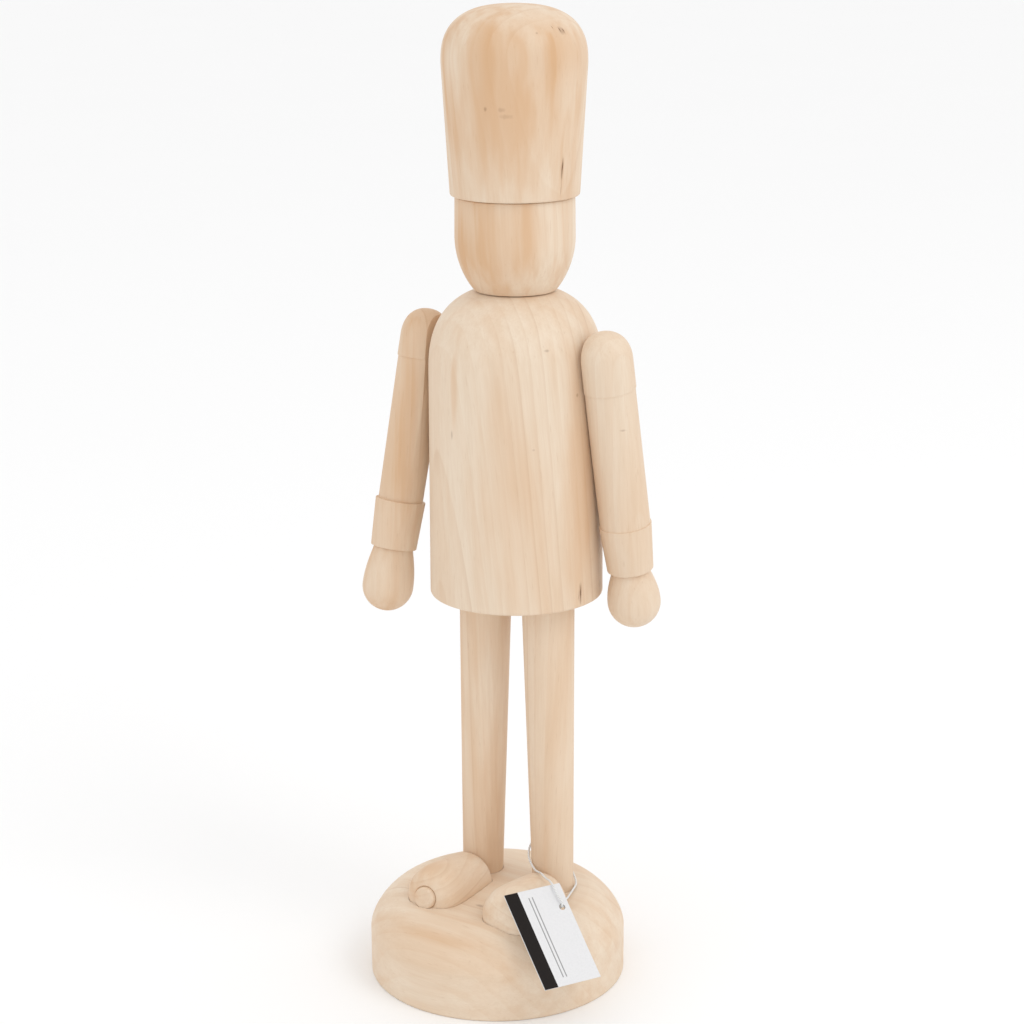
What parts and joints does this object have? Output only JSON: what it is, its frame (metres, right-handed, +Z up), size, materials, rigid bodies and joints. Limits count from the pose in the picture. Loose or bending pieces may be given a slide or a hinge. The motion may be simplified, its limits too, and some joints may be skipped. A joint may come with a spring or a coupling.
{
  "type": "blank wooden toy soldier",
  "caption": "Unpainted turned-wood toy soldier with a tall hat and swinging arms, standing on a round domed base with a small swing tag on a cord.",
  "frame": {"origin": "centre of the base's flat underside", "axes": "+Z up, the figure faces -Y, its own left side is +X"},
  "size_m": [0.1135, 0.1, 0.3744],
  "materials": {
    "wood_base": "matte",
    "wood_torso": "matte",
    "wood_head": "matte",
    "wood_hat": "matte",
    "wood_legs": "matte",
    "wood_arms": "matte",
    "wood_dowel": "matte",
    "card": "matte",
    "cord": "matte"
  },
  "bodies": {
    "figure": {"base": "wood_base", "torso": "wood_torso", "head": "wood_head", "hat": "wood_hat", "neck_dowel": "wood_dowel", "hat_dowel": "wood_dowel", "leg_right": "wood_legs", "leg_left": "wood_legs", "foot_right": "wood_legs", "foot_left": "wood_legs", "shoulder_pin_right": "wood_dowel", "shoulder_pin_left": "wood_dowel", "swing_tag": "card", "tag_cord": "cord"},
    "right_arm": {"arm_right": "wood_arms"},
    "left_arm": {"arm_left": "wood_arms"}
  },
  "joints": [
    {"name": "right_shoulder", "type": "hinge", "parent": "figure", "child": "right_arm", "pos_m": [-0.0377, 0.00852, 0.2478], "axis": [1, 0, 0], "continuous": true},
    {"name": "left_shoulder", "type": "hinge", "parent": "figure", "child": "left_arm", "pos_m": [0.0411, 0.013, 0.2469], "axis": [1, 0, 0], "continuous": true}
  ]
}
